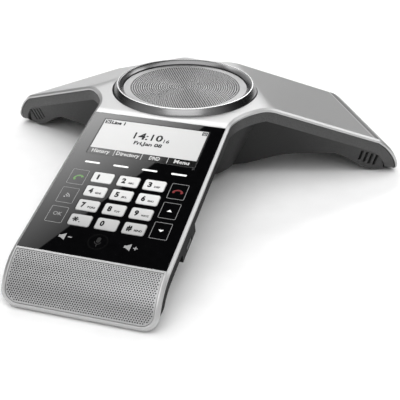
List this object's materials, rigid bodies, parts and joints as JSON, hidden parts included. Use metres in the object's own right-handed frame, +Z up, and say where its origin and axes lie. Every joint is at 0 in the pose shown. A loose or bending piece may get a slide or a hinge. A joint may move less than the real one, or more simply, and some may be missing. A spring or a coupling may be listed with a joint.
{
  "type": "conference phone",
  "caption": "Three-legged tabletop conference phone: loudspeaker hub in a polished collar, sloping glossy panel with display and keys, microphones in the legs.",
  "frame": {"origin": "on the table, under the middle of the body's bounding box", "axes": "+Z up; -Y along the front leg, towards the person using it; +X to that person's right"},
  "size_m": [0.3062, 0.3156, 0.0665],
  "materials": {
    "silver_shell": "satin pearl silver paint",
    "dark_housing": "fine grained",
    "polished_collar": "polished, spun",
    "grille_steel": "painted perforated sheet",
    "mesh_steel": "painted perforated sheet",
    "acoustic_cloth": "fine black weave",
    "soft_rubber": "soft, matt",
    "plated_steel": "bright plated",
    "ferrite": "ground",
    "copper": "enamelled winding",
    "cone_paper": "pressed paper",
    "spider_cloth": "resin-dipped cloth",
    "gloss_panel": "high gloss",
    "clear_window": "clear",
    "black_plastic": "moulded",
    "display_module": "grey display glass",
    "light_guide": "milky",
    "keypad_silicone": "translucent silicone",
    "circuit_board": "solder resist",
    "key_white": "smooth, with dark legends",
    "screw_steel": "plated",
    "flex_film": "amber film",
    "wire_cover": "insulation"
  },
  "bodies": {
    "base": {"top_shell": "silver_shell", "lower_housing": "dark_housing", "port_block": "dark_housing", "speaker_collar": "polished_collar", "speaker_grille": "grille_steel", "grille_cloth": "acoustic_cloth", "speaker_gasket": "soft_rubber", "speaker_basket": "plated_steel", "speaker_magnet": "ferrite", "magnet_top_plate": "plated_steel", "magnet_yoke": "plated_steel", "cone_surround": "soft_rubber", "cone_spider": "spider_cloth", "front_panel": "gloss_panel", "display_window": "clear_window", "panel_carrier": "black_plastic", "lcd_module": "display_module", "lcd_backlight": "light_guide", "status_light": "light_guide", "keypad_mat": "keypad_silicone", "keypad_board": "circuit_board", "front_grille": "mesh_steel", "front_grille_cloth": "acoustic_cloth", "main_board": "circuit_board", "shield_can": "plated_steel", "ethernet_socket": "plated_steel", "usb_socket": "plated_steel", "foot_front": "soft_rubber", "foot_left": "soft_rubber", "foot_right": "soft_rubber", "mic_front": "plated_steel", "mic_left": "plated_steel", "mic_right": "plated_steel", "mic_boot_front": "soft_rubber", "mic_boot_left": "soft_rubber", "mic_boot_right": "soft_rubber", "housing_screws": "screw_steel", "speaker_screws": "screw_steel", "board_screws": "screw_steel", "lcd_flex": "flex_film", "keypad_flex": "flex_film", "speaker_wires": "wire_cover", "mic_wires": "wire_cover"},
    "key_1": {"key_1": "key_white"},
    "key_2": {"key_2": "key_white"},
    "key_3": {"key_3": "key_white"},
    "key_4": {"key_4": "key_white"},
    "key_5": {"key_5": "key_white"},
    "key_6": {"key_6": "key_white"},
    "key_7": {"key_7": "key_white"},
    "key_8": {"key_8": "key_white"},
    "key_9": {"key_9": "key_white"},
    "key_star": {"key_star": "key_white"},
    "key_0": {"key_0": "key_white"},
    "key_hash": {"key_hash": "key_white"},
    "cone": {"speaker_cone": "cone_paper", "dust_cap": "cone_paper", "voice_coil": "copper"}
  },
  "joints": [
    {"name": "key_1_press", "type": "slide", "parent": "base", "child": "key_1", "axis": [0, 0.2588, -0.9659], "range_m": [0, 0.0005], "stiffness_N_per_m": 1500},
    {"name": "key_2_press", "type": "slide", "parent": "base", "child": "key_2", "axis": [0, 0.2588, -0.9659], "range_m": [0, 0.0005], "stiffness_N_per_m": 1500},
    {"name": "key_3_press", "type": "slide", "parent": "base", "child": "key_3", "axis": [0, 0.2588, -0.9659], "range_m": [0, 0.0005], "stiffness_N_per_m": 1500},
    {"name": "key_4_press", "type": "slide", "parent": "base", "child": "key_4", "axis": [0, 0.2588, -0.9659], "range_m": [0, 0.0005], "stiffness_N_per_m": 1500},
    {"name": "key_5_press", "type": "slide", "parent": "base", "child": "key_5", "axis": [0, 0.2588, -0.9659], "range_m": [0, 0.0005], "stiffness_N_per_m": 1500},
    {"name": "key_6_press", "type": "slide", "parent": "base", "child": "key_6", "axis": [0, 0.2588, -0.9659], "range_m": [0, 0.0005], "stiffness_N_per_m": 1500},
    {"name": "key_7_press", "type": "slide", "parent": "base", "child": "key_7", "axis": [0, 0.2588, -0.9659], "range_m": [0, 0.0005], "stiffness_N_per_m": 1500},
    {"name": "key_8_press", "type": "slide", "parent": "base", "child": "key_8", "axis": [0, 0.2588, -0.9659], "range_m": [0, 0.0005], "stiffness_N_per_m": 1500},
    {"name": "key_9_press", "type": "slide", "parent": "base", "child": "key_9", "axis": [0, 0.2588, -0.9659], "range_m": [0, 0.0005], "stiffness_N_per_m": 1500},
    {"name": "key_star_press", "type": "slide", "parent": "base", "child": "key_star", "axis": [0, 0.2588, -0.9659], "range_m": [0, 0.0005], "stiffness_N_per_m": 1500},
    {"name": "key_0_press", "type": "slide", "parent": "base", "child": "key_0", "axis": [0, 0.2588, -0.9659], "range_m": [0, 0.0005], "stiffness_N_per_m": 1500},
    {"name": "key_hash_press", "type": "slide", "parent": "base", "child": "key_hash", "axis": [0, 0.2588, -0.9659], "range_m": [0, 0.0005], "stiffness_N_per_m": 1500},
    {"name": "cone_travel", "type": "slide", "parent": "base", "child": "cone", "axis": [0, 0, 1], "range_m": [-0.001, 0.001], "stiffness_N_per_m": 1500, "deforming": ["cone_surround", "cone_spider"]}
  ]
}
